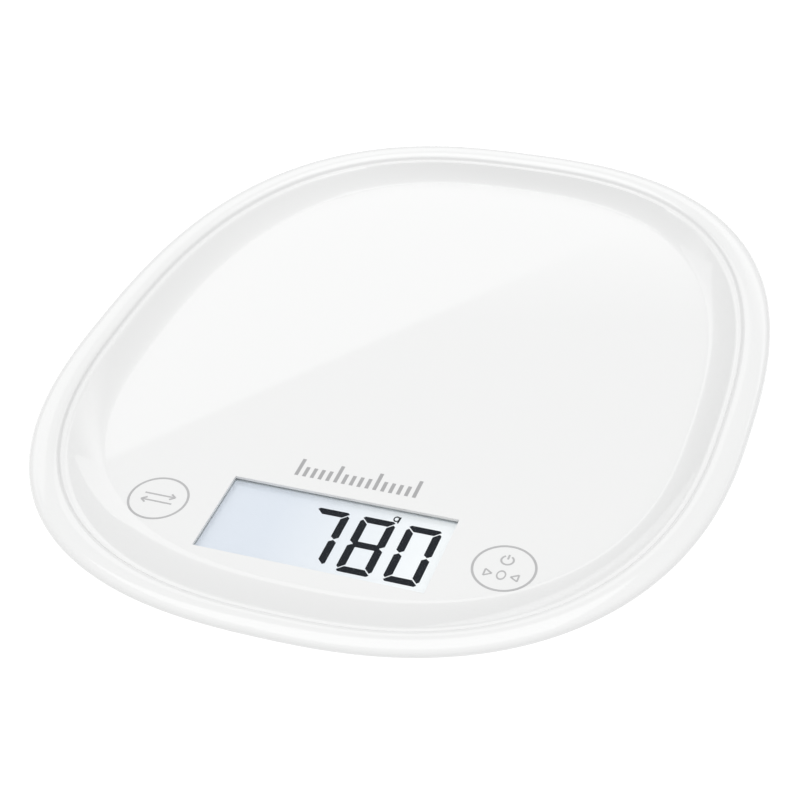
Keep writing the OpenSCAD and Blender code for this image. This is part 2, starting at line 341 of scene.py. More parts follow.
@dataclass(frozen=True)
class SolderMask(Finish):
    """A circuit board's mask with tracks showing as lighter lines under it."""

    track: Colour = (0.09, 0.34, 0.16)
    pitch_mm: float = 2.6

    def colour_over(self, graph: Graph, patches: Wire) -> bpy.types.NodeSocket:
        """The mask's colour, lighter where a track runs."""
        blocks = graph.add(
            "ShaderNodeTexBrick",
            {"offset": 0.5},
            {
                "Vector": graph.place(),
                "Scale": 1 / (self.pitch_mm * MM),
                "Mortar Size": 0.06,
                "Brick Width": 3.0,
                "Row Height": 0.5,
            },
        )
        tracks = Wire(graph, blocks.outputs["Fac"])
        return graph.blend(tracks * 0.8 + patches * 0.2, self.colour, self.track)


@dataclass(frozen=True)
class ClearPane(Finish):
    """Clear polished plastic over the display."""

    alpha: float = 0.02

    def extras(self, graph: Graph) -> dict[str, Any]:
        """How much of the pane shows over what is under it."""
        return {"Alpha": self.alpha}


class Look:
    """Every finish on the scale."""

    COVER = Finish("white_gloss", (0.775, 0.778, 0.776), 0.03, ior=1.5, mottle=0.003, mottle_mm=60,
                   wear=0.008, grain_mm=25, relief_mm=0.0004)
    HOUSING = Finish("white_satin", (0.84, 0.842, 0.84), 0.32, mottle=0.006, wear=0.04,
                     texture=Texture.SPARK, grain_mm=0.35, relief_mm=0.006)
    PANE = ClearPane("clear_pane", (0.20, 0.22, 0.24), 0.03, ior=1.49, mottle=0.002, wear=0.01,
                     grain_mm=12, relief_mm=0.0003)
    FOAM = Finish("pale_foam", (0.66, 0.70, 0.72), 0.85, mottle=0.06, mottle_mm=1.2,
                  texture=Texture.FOAM, grain_mm=0.4, relief_mm=0.05)
    # the display face carries a painted glow and a painted reflection gradient
    DISPLAY = DisplayGlass("display_glass", (0.78, 0.85, 0.9), 0.12, mottle=0.05, mottle_mm=30,
                           grain_mm=0.3, relief_mm=0.0005)
    SEGMENT = Finish("display_segment", (0.008, 0.010, 0.014), 0.6, ior=1.15, mottle=0.08, mottle_mm=6,
                     grain_mm=0.3, relief_mm=0.0005)
    PRINT = Finish("grey_print", (0.42, 0.42, 0.425), 0.35, mottle=0.05, mottle_mm=3,
                   grain_mm=0.15, relief_mm=0.001)
    PRINT_FINE = Finish("grey_print_fine", (0.35, 0.35, 0.355), 0.35, mottle=0.05, mottle_mm=3,
                        grain_mm=0.15, relief_mm=0.001)
    INNER = Finish("inner_plastic", (0.60, 0.60, 0.57), 0.45, mottle=0.03, wear=0.05,
                   texture=Texture.SPARK, grain_mm=0.5, relief_mm=0.008)
    GUIDE = Finish("light_guide", (0.80, 0.86, 0.92), 0.08, ior=1.49, coat=0.3, mottle=0.01,
                   grain_mm=1.5, relief_mm=0.002)
    ELASTOMER = Finish("contact_rubber", (0.03, 0.03, 0.034), 0.6, mottle=0.4, mottle_mm=0.3,
                       texture=Texture.BRUSHED_X, grain_mm=0.12, relief_mm=0.01)
    BOARD = SolderMask("solder_mask", (0.012, 0.11, 0.035), 0.22, coat=0.4, mottle_mm=14,
                       grain_mm=0.6, relief_mm=0.01)
    CHIP = Finish("chip_black", (0.012, 0.012, 0.013), 0.5, mottle=0.1, mottle_mm=1,
                  texture=Texture.SPARK, grain_mm=0.1, relief_mm=0.003)
    WIRE = Finish("tinned_wire", (0.72, 0.70, 0.64), 0.28, metallic=1.0, mottle=0.06, mottle_mm=2,
                  wear=0.08, grain_mm=0.2, relief_mm=0.003)
    GAUGE = Finish("gauge_film", (0.62, 0.26, 0.05), 0.3, coat=0.3, mottle=0.15, mottle_mm=0.8,
                   texture=Texture.BRUSHED_Y, grain_mm=0.3, relief_mm=0.01)
    RED_LEAD = Finish("red_lead", (0.42, 0.015, 0.012), 0.42, mottle=0.05, mottle_mm=5,
                      grain_mm=0.4, relief_mm=0.006)
    BLACK_LEAD = Finish("black_lead", (0.012, 0.012, 0.012), 0.42, mottle=0.08, mottle_mm=5,
                        grain_mm=0.4, relief_mm=0.006)
    COIN = Finish("coin_steel", (0.66, 0.66, 0.65), 0.24, metallic=1.0, mottle=0.03, mottle_mm=6,
                  wear=0.08, texture=Texture.BRUSHED_X, grain_mm=0.15, relief_mm=0.003)
    CONTACT = Finish("contact_steel", (0.70, 0.70, 0.68), 0.15, metallic=1.0, mottle=0.02,
                     wear=0.05, grain_mm=0.8, relief_mm=0.002)
    SCREW = Finish("screw_steel", (0.58, 0.59, 0.61), 0.24, metallic=1.0, mottle=0.04, mottle_mm=2,
                   wear=0.08, grain_mm=0.3, relief_mm=0.003)
    CELL = Finish("cell_steel", (0.46, 0.46, 0.46), 0.3, metallic=1.0, mottle=0.05, mottle_mm=8,
                  wear=0.09, texture=Texture.BRUSHED_Y, grain_mm=0.2, relief_mm=0.005)
    FOOT = Finish("foot_plastic", (0.62, 0.62, 0.62), 0.38, mottle=0.02, wear=0.05,
                  texture=Texture.SPARK, grain_mm=0.35, relief_mm=0.006)
    PAD = Finish("pad_rubber", (0.27, 0.27, 0.275), 0.7, mottle=0.06, mottle_mm=4, wear=0.06,
                 texture=Texture.SPARK, grain_mm=0.25, relief_mm=0.012)


# ---------------------------------------------------------------- shapes


class Shape:
    """A mesh under construction, in millimetres."""

    def __init__(self) -> None:
        """Starts empty."""
        self.bm = bmesh.new()

    def soften(self, edges: Iterable[bmesh.types.BMEdge], width: float, segments: int = 2) -> None:
        """Rounds edges over a width."""
        if width > 0:
            bmesh.ops.bevel(
                self.bm, geom=list(edges), offset=width, offset_type="OFFSET", segments=segments,
                profile=0.5, affect="EDGES", material=-1, clamp_overlap=True,
            )

    def block(self, low: Point3, high: Point3, edge: float = 0.0, segments: int = 2) -> "Shape":
        """Adds a block between two corners, with rounded edges."""
        middle = (Vector(low) + Vector(high)) / 2
        size = Vector(high) - Vector(low)
        place = Matrix.Translation(middle) @ Matrix.Diagonal((*size, 1.0))
        made = bmesh.ops.create_cube(self.bm, size=1.0, matrix=place)
        self.soften({e for v in made["verts"] for e in v.link_edges}, edge, segments)
        return self

    def turned(self, centre: Point2, profile: Sequence[Point2], sides: int = 48) -> "Shape":
        """Adds a body of revolution about a vertical axis.

        Args:
            centre: the axis, in x and y.
            profile: (radius, height) points from one end of the axis to the other.
            sides: steps round the axis.

        Returns:
            This shape.
        """
        verts = [self.bm.verts.new((centre[0] + r, centre[1], z)) for r, z in profile]
        edges = [self.bm.edges.new(pair) for pair in zip(verts, verts[1:])]
        bmesh.ops.spin(
            self.bm, geom=verts + edges, cent=(*centre, 0), axis=(0, 0, 1), angle=FULL_TURN,
            steps=sides, use_merge=True,
        )
        bmesh.ops.remove_doubles(self.bm, verts=self.bm.verts, dist=1e-4)
        return self

    def prism(self, outline: Sequence[Point2], low: float, high: float) -> "Shape":
        """Adds a flat outline raised from one height to another."""
        verts = [self.bm.verts.new((x, y, low)) for x, y in outline]
        face = self.bm.faces.new(verts)
        made = bmesh.ops.extrude_face_region(self.bm, geom=[face], use_keep_orig=True)
        top = [g for g in made["geom"] if isinstance(g, bmesh.types.BMVert)]
        bmesh.ops.translate(self.bm, verts=top, vec=(0, 0, high - low))
        return self

    def bar(self, start: Point2, end: Point2, width: float, low: float, high: float) -> "Shape":
        """Adds a straight stroke of a width between two points."""
        along = (Vector(end) - Vector(start)).normalized() * (width / 2)
        side = Vector((-along.y, along.x))
        first, last = Vector(start), Vector(end)
        corners = (first - side, last - side, last + side, first + side)
        return self.prism([tuple(c) for c in corners], low, high)

    def arc(
        self, centre: Point2, radius: float, width: float, low: float, high: float,
        start: float = 0.0, turn: float = 360.0, squash: float = 1.0, steps: int = 96,
    ) -> "Shape":
        """Adds a curved stroke.

        Args:
            centre: its centre.
            radius: radius of its centre line.
            width: width of the stroke.
            low: its lower height.
            high: its upper height.
            start: angle at which it starts, in degrees from +X.
            turn: angle that it covers, in degrees; 360 closes it.
            squash: factor on its width in X, to make it an ellipse.
            steps: steps along it.

        Returns:
            This shape.
        """
        before = set(self.bm.verts)
        near, far = radius - width / 2, radius + width / 2
        section = ((near, low), (far, low), (far, high), (near, high))
        verts = [self.bm.verts.new((r, 0, z)) for r, z in section]
        face = self.bm.faces.new(verts)
        closed = turn >= 360
        bmesh.ops.spin(
            self.bm, geom=[face] + list(face.edges) + verts, cent=(0, 0, 0), axis=(0, 0, 1),
            angle=math.radians(turn), steps=steps, use_merge=closed,
        )
        if closed:
            inner = [f for f in self.bm.faces if set(f.verts) == set(verts)]
            bmesh.ops.delete(self.bm, geom=inner, context="FACES_ONLY")
        made = [v for v in self.bm.verts if v not in before]
        bmesh.ops.remove_doubles(self.bm, verts=made, dist=1e-4)
        made = [v for v in self.bm.verts if v not in before]
        turned = Matrix.Rotation(math.radians(start), 4, "Z")
        place = Matrix.Translation((*centre, 0)) @ Matrix.Diagonal((squash, 1, 1, 1)) @ turned
        bmesh.ops.transform(self.bm, matrix=place, verts=made)
        return self

    def piece(self, name: str, finish: Finish, sharp: float = CRISP) -> bpy.types.Object:
        """Ends the shape as an object at the origin.

        Args:
            name: the piece's name.
            finish: its finish.
            sharp: edges turning more than this many degrees stay crisp.

        Returns:
            The object.
        """
        bm = self.bm
        bmesh.ops.remove_doubles(bm, verts=bm.verts, dist=1e-5)
        bmesh.ops.recalc_face_normals(bm, faces=bm.faces)
        bmesh.ops.scale(bm, vec=(MM, MM, MM), verts=bm.verts)
        mesh = bpy.data.meshes.new(name)
        bm.to_mesh(mesh)
        bm.free()
        mesh.materials.append(finish.material())
        mesh.shade_smooth()
        mesh.set_sharp_from_angle(angle=math.radians(sharp))
        obj = bpy.data.objects.new(name, mesh)
        bpy.context.scene.collection.objects.link(obj)
        return obj


def carve(obj: bpy.types.Object, tool: Shape) -> None:
    """Cuts a shape out of a piece, exactly, and leaves no modifier behind."""
    cutter = tool.piece("cutter", Look.INNER)
    cut = obj.modifiers.new("cut", "BOOLEAN")
    cut.operation = "DIFFERENCE"
    cut.solver = "EXACT"
    cut.object = cutter
    ready = obj.evaluated_get(bpy.context.evaluated_depsgraph_get())
    mesh = bpy.data.meshes.new_from_object(ready)
    obj.modifiers.clear()
    old, name = obj.data, obj.data.name
    obj.data = mesh
    bpy.data.meshes.remove(old)
    mesh.name = name
    while len(mesh.materials) > 1:
        mesh.materials.pop()
    bpy.data.objects.remove(cutter)
    mesh.shade_smooth()
    mesh.set_sharp_from_angle(angle=math.radians(CRISP))


def hand_over(obj: bpy.types.Object, body: str, slot: str, *nodes: str) -> bpy.types.Object:
    """Rides a new piece on its body, hides the CAD nodes that it stands for and logs its slot."""
    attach(obj, body)
    if nodes:
        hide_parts(*nodes)
    faces = len(obj.data.polygons)
    log.info("%s: %d faces, on %s, in %s, for %s", obj.name, faces, body, slot, list(nodes) or "itself")
    return obj


# ---------------------------------------------------------------- where things are


class Box(NamedTuple):
    """A CAD node's box, in millimetres."""

    low: Vector
    high: Vector

    @property
    def middle(self) -> Vector:
        """The box's centre."""
        return (self.low + self.high) / 2

    @property
    def size(self) -> Vector:
        """The box's width, depth and height."""
        return self.high - self.low


def box(node: str) -> Box:
    """A CAD node's box, from the frame."""
    low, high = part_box(node)
    return Box(low / MM, high / MM)


class Inset(NamedTuple):
    """How far a ring lies inside the outline, at the sides, the front and the back."""

    side: float
    front: float
    back: float


class Station(NamedTuple):
    """One ring of a shell: its insets and its height."""

    inset: Inset
    z: float


def even(inset: float, z: float) -> Station:
    """A ring that lies equally far inside the outline all round."""
    return Station(Inset(inset, inset, inset), z)


def along(points: Sequence[Point2], steps: int) -> list[Point2]:
    """A smooth curve through points, by Catmull and Rom's rule.

    Args:
        points: the points to pass through.
        steps: stretches between each two points.

    Returns:
        The curve's points.
    """
    first, last = Vector(points[0]), Vector(points[-1])
    ends = [2 * first - Vector(points[1]), *map(Vector, points), 2 * last - Vector(points[-2])]
    curve = []
    for a, b, c, d in zip(ends, ends[1:], ends[2:], ends[3:]):
        for step in range(steps):
            t = step / steps
            bend = (2 * b + (c - a) * t + (2 * a - 5 * b + 4 * c - d) * t**2
                    + (3 * b - a - 3 * c + d) * t**3)
            curve.append(tuple(bend / 2))
    return curve + [tuple(last)]


@dataclass(frozen=True)
class Outline:
    """The scale seen from above: two superellipse halves that meet where it is widest."""

    wide_at: float = 10.3
    front_square: float = 2.47
    back_square: float = 2.59
    segments: int = 288

    def place(self, verts: Iterable[bmesh.types.BMVert], station: Station) -> None:
        """Moves a ring's vertices to a station, each along its own ray from the middle."""
        cover = box("top_cover")
        inset = station.inset
        for vert in verts:
            angle = math.atan2(vert.co.y + self.wide_at, vert.co.x)
            c, s = math.cos(angle), math.sin(angle)
            if s < 0:
                half_y, power = -cover.low.y - self.wide_at - inset.front, self.front_square
            else:
                half_y, power = cover.high.y + self.wide_at - inset.back, self.back_square
            half_x = cover.high.x - inset.side
            reach = ((abs(c) / half_x) ** power + (abs(s) / half_y) ** power) ** (-1 / power)
            vert.co = (reach * c, reach * s - self.wide_at, station.z)

    def shell(self, stations: Sequence[Station]) -> Shape:
        """A closed shell through rings, from the middle of one face round to the middle of the other.

        Args:
            stations: the rings in order.

        Returns:
            The shape, with flat caps on its first and last ring.
        """
        shape = Shape()
        bm = shape.bm
        place = Matrix.Translation((0, -self.wide_at, 0))
        ring = bmesh.ops.create_circle(bm, cap_ends=False, radius=1.0, segments=self.segments, matrix=place)
        verts = ring["verts"]
        edges = list({e for v in verts for e in v.link_edges})
        self.place(verts, stations[0])
        first = edges
        for station in stations[1:]:
            made = bmesh.ops.extrude_edge_only(bm, edges=edges)["geom"]
            verts = [g for g in made if isinstance(g, bmesh.types.BMVert)]
            edges = [g for g in made if isinstance(g, bmesh.types.BMEdge)]
            edges = [e for e in edges if set(e.verts) <= set(verts)]
            self.place(verts, station)
        bmesh.ops.contextual_create(bm, geom=first)
        bmesh.ops.contextual_create(bm, geom=edges)
        return shape


# ---------------------------------------------------------------- top cover


@dataclass
class TopCover:
    """The dished platform with its rim, and the posts and ribs inside it.

    Attributes:
        outline: the scale's outline.
        flat: insets of the flat platform.
        rim_w: outline to crest.
        step_h: drop of the small step inside the crest.
        ledge_in: outline to the inner edge of the ledge at the foot of the step.
        wall: thickness of the cover.
        slope_power: how the slope steepens towards the ledge.
        slope_steps: rings up the slope.
        window: width and depth of the display window.
        pocket_gap: how much wider than the pane its pocket is.
        top: the rim's height.
        platform: the flat's height.
    """

    outline: Outline
    flat: Inset = Inset(16.6, 23.4, 13.7)
    rim_w: float = 7.2
    step_h: float = 1.0
    ledge_in: float = 9.0
    wall: float = 2.0
    slope_power: float = 1.25
    slope_steps: int = 12
    window: Point2 = (61.8, 27.4)
    pocket_gap: float = 0.2
    top: float = field(init=False)
    platform: float = field(init=False)

    def __post_init__(self) -> None:
        """Takes the heights from the frame."""
        self.top = box("top_cover").high.z
        self.platform = self.top - 6.4

    def slope(self, share: float, z: float, out: float = 0.0) -> Station:
        """A ring on the slope, from the ledge (share 0) to the flat (share 1), shifted out."""
        start = self.ledge_in
        return Station(Inset(*(start + (end - start) * share - out for end in self.flat)), z)

    def stations(self) -> list[Station]:
        """The cover's rings, from the flat over the rim to the underside."""
        top, rim, low = self.top, self.rim_w, self.platform
        crest = top - 0.65
        ledge = crest - self.step_h
        rise = ledge - low
        shares = [1 - i / self.slope_steps for i in range(self.slope_steps + 1)]
        slope = [self.slope(s, low + rise * (1 - s) ** self.slope_power) for s in shares]
        flat_edge = [self.slope(1.05, low), self.slope(1.02, low)]
        step = along([
            (rim + 1.3, ledge + 0.04), (rim + 0.8, ledge + 0.12), (rim + 0.45, ledge + 0.42),
            (rim + 0.2, crest - 0.22), (rim - 0.15, crest + 0.08), (rim - 0.8, top - 0.3),
            (rim - 1.9, top - 0.06), (rim - 3.0, top), (2.7, top - 0.05), (1.6, top - 0.22),
            (0.8, top - 0.53), (0.28, top - 0.96), (0.05, top - 1.32),
        ], 3)
        lip = [(0.0, top - 1.6), (0.08, top - 1.8), (0.3, top - 1.94), (0.7, top - 2), (rim - 0.6, top - 2)]
        ceiling = low - self.wall
        under = [
            self.slope(0.5, top - 2 + (ceiling - top + 2) * 0.6, 0.6),
            self.slope(1.0, ceiling, 0.6),
        ]
        return flat_edge + slope + [even(*p) for p in step + lip] + under

    def open_window(self, shape: Shape) -> None:
        """Cuts the display window through the cover, wider below for the pane."""
        bm = shape.bm
        glass = box("display_window")
        y = glass.middle.y
        tops = (self.platform, self.window)
        pocket = (glass.size.x + self.pocket_gap, glass.size.y + self.pocket_gap)
        ceiling = self.platform - self.wall
        rims = []
        for z, (w, d) in (tops, (ceiling, pocket)):
            for normal, reach in ((Vector((1, 0, 0)), w / 2), (Vector((0, 1, 0)), d / 2)):
                for sign in (-1, 1):
                    faces = self._level_faces(bm, z)
                    edges = {e for f in faces for e in f.edges}
                    verts = {v for f in faces for v in f.verts}
                    spot = Vector((0, y, z)) + normal * (sign * reach)
                    bmesh.ops.bisect_plane(
                        bm, geom=[*faces, *edges, *verts], dist=1e-5, plane_co=spot, plane_no=normal
                    )
            middle = []
            for face in self._level_faces(bm, z):
                spot = face.calc_center_median()
                if abs(spot.x) < w / 2 and abs(spot.y - y) < d / 2:
                    middle.append(face)
            rims.append(list({e for f in middle for e in f.edges}))
            bmesh.ops.delete(bm, geom=middle, context="FACES_ONLY")
        self._line_window(bm, rims, pocket, glass.high.z)

    @staticmethod
    def _level_faces(bm: bmesh.types.BMesh, z: float) -> list[bmesh.types.BMFace]:
        """The level faces at a height."""
        return [f for f in bm.faces if all(abs(v.co.z - z) < 1e-4 for v in f.verts)]

    def _line_window(self, bm: bmesh.types.BMesh, rims: list[list], pocket: Point2, seat: float) -> None:
        """Joins the two openings by the window's wall, the pane's seat and the pocket's wall."""
        glass = box("display_window")
        top_edges, low_edges = rims
        wall = bmesh.ops.extrude_edge_only(bm, edges=top_edges)["geom"]
        verts = [g for g in wall if isinstance(g, bmesh.types.BMVert)]
        for v in verts:
            v.co.z = seat + 0.02
        edges = [g for g in wall if isinstance(g, bmesh.types.BMEdge) and set(g.verts) <= set(verts)]
        ledge = bmesh.ops.extrude_edge_only(bm, edges=edges)["geom"]
        verts = [g for g in ledge if isinstance(g, bmesh.types.BMVert)]
        for v in verts:
            v.co.x = math.copysign(pocket[0] / 2, v.co.x)
            v.co.y = glass.middle.y + math.copysign(pocket[1] / 2, v.co.y - glass.middle.y)
        edges = [g for g in ledge if isinstance(g, bmesh.types.BMEdge) and set(g.verts) <= set(verts)]
        bmesh.ops.bridge_loops(bm, edges=edges + low_edges)

    def posts(self) -> Shape:
        """The screw posts and stiffening ribs under the cover."""
        shape = Shape()
        ceiling = self.platform - self.wall
        sink = 0.8
        for screw_x, screw_y in FIXINGS.case:
            shape.turned((screw_x, screw_y), tube(3.0, 1.22, 5.05, ceiling + sink, 0.3))
        for screw_x, screw_y in FIXINGS.board:
            shape.turned((screw_x, screw_y), tube(2.2, 0.82, 5.8, ceiling + sink, 0.2))
        for screw_x, screw_y in FIXINGS.carrier:
            shape.turned((screw_x, screw_y), tube(2.2, 0.82, 8.4, ceiling + sink, 0.2))
        half_rib = 0.6
        for x in (-24, 24):
            shape.block((x - half_rib, -36, 6), (x + half_rib, 78, ceiling + sink), 0.2)
        for y in (-14, 40, 74):
            shape.block((-24, y - half_rib, 7), (24, y + half_rib, ceiling + sink), 0.2)
        return shape

    def build(self) -> None:
        """Makes the cover and its posts."""
        shape = self.outline.shell(self.stations())
        self.open_window(shape)
        hand_over(shape.piece("platform_cover", Look.COVER, 40), "housing", "white_cover", "top_cover")
        hand_over(self.posts().piece("cover_posts", Look.COVER), "housing", "white_cover")


def tube(outer: float, inner: float, low: float, high: float, edge: float) -> list[Point2]:
    """The profile of an upright tube with a rounded lower edge."""
    return [
        (inner, high), (inner, low), (outer - edge, low), (outer - edge * 0.3, low + edge * 0.3),
        (outer, low + edge), (outer, high), (inner, high),
    ]


@dataclass(frozen=True)
class Fixings:
    """Where the screws are."""

    case_right: tuple[Point2, ...] = ((58, -66), (68, 8), (30, 82))
    board_right: tuple[Point2, ...] = ((30, -46), (39.5, -80.5))
    ear_x: float = 10
    ear_y: float = 18.5

    @staticmethod
    def both(points: Iterable[Point2]) -> list[Point2]:
        """The points and their mirror images."""
        return [(sign * x, y) for x, y in points for sign in (-1, 1)]

    @property
    def case(self) -> list[Point2]:
        """The screws that hold the two covers together."""
        return self.both(self.case_right)

    @property
    def board(self) -> list[Point2]:
        """The screws that hold the board."""
        return self.both(self.board_right)

    @property
    def carrier(self) -> list[Point2]:
        """The screws that hold the load cell carriers."""
        spots = []
        for corner in FEET:
            foot = box(f"foot_pad_{corner}").middle
            inward = self.ear_y if foot.y < 0 else -self.ear_y
            spots += [(foot.x + sign * self.ear_x, foot.y + inward) for sign in (-1, 1)]
        return spots


FIXINGS = Fixings()
FEET = ("fl", "fr", "bl", "br")


# ---------------------------------------------------------------- bottom cover


@dataclass
class BottomCover:
    """The saucer-shaped underside with the foot wells, screw seats and battery bay.

    Attributes:
        outline: the scale's outline.
        floor_low: height of the floor's underside.
        floor_top: height of its inside.
        well_r: radius of a foot well.
        seat_r: radius of a screw's sunk seat.
        seat_z: height of the seat.
        bore_r: radius of the hole for the screw's shank.
        bay_wall: thickness of the battery bay's walls.
        bay_w: width of the bay's inside.
    """

    outline: Outline
    floor_low: float = 2.2
    floor_top: float = 3.7
    well_r: float = 10.8
    seat_r: float = 2.8
    seat_z: float = 3.8
    bore_r: float = 1.45
    bay_wall: float = 1.5
    bay_w: float = 30.4

    def stations(self) -> list[Station]:
        """The saucer's rings, from the floor's inside over the edge to its underside."""
        low, top = self.floor_low, self.floor_top
        inner = along([
            (22.5, top), (20.9, top + 0.15), (18.6, 4.6), (14.8, 6.4), (11, 9.4), (7.8, 13), (5.8, 15.85),
        ], 3)
        outer = along([
            (4.2, 15.85), (6.2, 12.6), (9.6, 8.8), (13.8, 5.4), (18, 3.2), (20.5, low + 0.2), (22.5, low),
        ], 3)
        return [even(*p) for p in inner + outer]

    def bay_box(self) -> tuple[Point3, Point3]:
        """Lowest and highest corner of the battery bay's inside."""
        door = box("battery_door")
        return (-self.bay_w / 2, door.low.y - 0.3, self.floor_low), (self.bay_w / 2, door.high.y + 0.3, 8.0)

    def cuts(self) -> Shape:
        """Everything that goes through the floor."""
        shape = Shape()
        for corner in FEET:
            foot = box(f"foot_pad_{corner}").middle
            shape.turned(foot.xy, [(0, 1), (self.well_r, 1), (self.well_r, 6), (0, 6)], 64)
        for spot in FIXINGS.case:
            seat, bore = self.seat_r, self.bore_r
            steps = [(0, 1), (seat, 1), (seat, self.seat_z), (bore, self.seat_z), (bore, 6), (0, 6)]
            shape.turned(spot, steps, 40)
        low, high = self.bay_box()
        grow = self.bay_wall / 2
        shape.block((low[0] - grow, low[1] - grow, 1), (high[0] + grow, high[1] + grow, 5))
        return shape

    def bay(self) -> bpy.types.Object:
        """The battery bay, a box open at the bottom, bored for the door's hinge."""
        shape = Shape()
        low, high = self.bay_box()
        wall = self.bay_wall
        outside = (high[0] + wall, high[1] + wall, high[2] + 1.2)
        shape.block((low[0] - wall, low[1] - wall, self.floor_low), outside, 0.25)
        hollow = Shape().block((low[0], low[1], 1), (high[0], high[1], high[2] + 1))
        hinge = box("battery_door")
        axis_y, axis_z = hinge.high.y - 1.7, 3.9
        bore = Matrix.Translation((0, axis_y, axis_z)) @ Matrix.Rotation(math.pi / 2, 4, "Y")
        bore_r = 0.86
        bmesh.ops.create_cone(
            hollow.bm, cap_ends=True, segments=32, radius1=bore_r, radius2=bore_r,
            depth=self.bay_w + 8, matrix=bore,
        )
        front = low[1] - 1.6
        hollow.block((-5.5, front - 1.2, 1), (5.5, front + 1.2, 2.8), 0.3)
        made = shape.piece("battery_bay", Look.HOUSING)
        carve(made, hollow)
        return made

    def cell_ring(self) -> Shape:
        """The ring inside the bay that the coin cell sits in."""
        coin = box("coin_cell")
        inner = coin.size.x / 2 + 0.2
        return Shape().turned(coin.middle.xy, tube(inner + 1.4, inner, coin.low.z, 8.2, 0.25), 64)

    def build(self) -> None:
        """Makes the saucer, its screw bosses and the battery bay."""
        skin = self.outline.shell(self.stations()).piece("bottom_saucer", Look.HOUSING)
        carve(skin, self.cuts())
        hand_over(skin, "housing", "white_housing", "bottom_cover")
        bosses = Shape()
        for spot in FIXINGS.case:
            bosses.turned(spot, tube(4.2, self.bore_r, self.seat_z, 5.0, 0.1), 40)
            bosses.turned(spot, tube(4.2, self.seat_r, self.floor_low + 0.05, self.seat_z, 0.1), 40)
        hand_over(bosses.piece("screw_bosses", Look.HOUSING), "housing", "white_housing")
        hand_over(self.bay(), "housing", "white_housing")
        ring = self.cell_ring().piece("cell_ring", Look.HOUSING)
        gate = box("battery_contact_positive")
        near, far = (gate.low.x - 1.2, gate.low.y - 2, 3), (gate.high.x + 3, gate.high.y + 2, 9)
        carve(ring, Shape().block(near, far))
        hand_over(ring, "housing", "white_housing")


# ---------------------------------------------------------------- display


class Segment(Enum):
    """The seven strokes of a digit, as (along X, column, row) with rows counted from the bottom."""

    TOP = (True, 0, 2)
    TOP_RIGHT = (False, 1, 1)
    LOW_RIGHT = (False, 1, 0)
    BOTTOM = (True, 0, 0)
    LOW_LEFT = (False, 0, 0)
    TOP_LEFT = (False, 0, 1)
    MIDDLE = (True, 0, 1)


DIGITS: dict[int, tuple[Segment, ...]] = {
    7: (Segment.TOP, Segment.TOP_RIGHT, Segment.LOW_RIGHT),
    8: tuple(Segment),
    0: tuple(s for s in Segment if s is not Segment.MIDDLE),
}


@dataclass
class Display:
    """The lit glass with its digits.

    Attributes:
        digits: what it reads, left to right.
        right_edge: right edge of the last digit, from the middle of the window.
        pitch: from one digit to the next.
        width: a digit's width.
        height: a digit's height.
        stroke: width of a segment.
        gap: half the gap between two segments.
        ink: thickness of a segment.
    """

    digits: tuple[int, ...] = (7, 8, 0)
    right_edge: float = 27.8
    pitch: float = 12.45
    width: float = 9.4
    height: float = 20.8
    stroke: float = 2.1
    gap: float = 0.16
    ink: float = 0.05

    def segment(self, shape: Shape, segment: Segment, left: float, middle_y: float, z: float) -> None:
        """Adds one segment with mitred ends.

        Args:
            shape: the shape to add to.
            segment: which of the seven.
            left: the digit's left edge.
            middle_y: the digit's middle.
            z: the height that it lies on.
        """
        across, column, row = segment.value
        w, gap = self.stroke, self.gap
        half = (self.height - w) / 2
        if across:
            length = self.width - 2 * gap
            y = middle_y + (row - 1) * half
            inner, outer = w / 2, w * 0.86
            points = {
                0: ((w * 0.35, -w / 2), (length - w * 0.35, -w / 2), (length - w * 0.1, -w * 0.24),
                    (length - outer, inner), (outer, inner), (w * 0.1, -w * 0.24)),
                1: ((outer, -w / 2), (length - outer, -w / 2), (length - w * 0.42, 0),
                    (length - outer, w / 2), (outer, w / 2), (w * 0.42, 0)),
            }[row % 2]
            flip = -1 if row == 2 else 1
            outline = [(left + gap + x, y + flip * dy) for x, dy in points]
        else:
            reach = half - 2 * gap
            x = left + (self.width - w if column else 0) + w / 2
            low = middle_y + (row - 1) * half + gap
            outer_end = w * 0.3
            points = [
                (w / 2, outer_end), (w * 0.22, w * 0.02), (-w / 2, w * 0.72),
                (-w / 2, reach - w * 0.38), (0, reach), (w / 2, reach - w * 0.38),
            ]
            side = 1 if column else -1
            if row:
                points = [(dx, reach - dy) for dx, dy in points]
            outline = [(x + side * dx, low + dy) for dx, dy in points]
        shape.prism(outline, z, z + self.ink)

    def build(self) -> None:
        """Makes the digits and the gram mark on the glass."""
        glass = box("lcd_cell")
        window = box("display_window").middle
        z = glass.high.z
        shape = Shape()
        for place, digit in enumerate(reversed(self.digits)):
            left = window.x + self.right_edge - place * self.pitch - self.width
            for segment in DIGITS[digit]:
                self.segment(shape, segment, left, window.y, z)
        hand_over(shape.piece("display_digits", Look.SEGMENT), "housing", "display_glass")
        mark = Shape()
        x, y = window.x + 14.7, window.y + 11.4
        mark.arc((x, y + 0.25), 0.85, 0.42, z, z + self.ink, squash=0.8, steps=32)
        mark.bar((x + 0.85, y + 1.15), (x + 0.7, y - 1.2), 0.42, z, z + self.ink)
        hand_over(mark.piece("gram_mark", Look.SEGMENT), "housing", "display_glass")


# ---------------------------------------------------------------- print on the platform


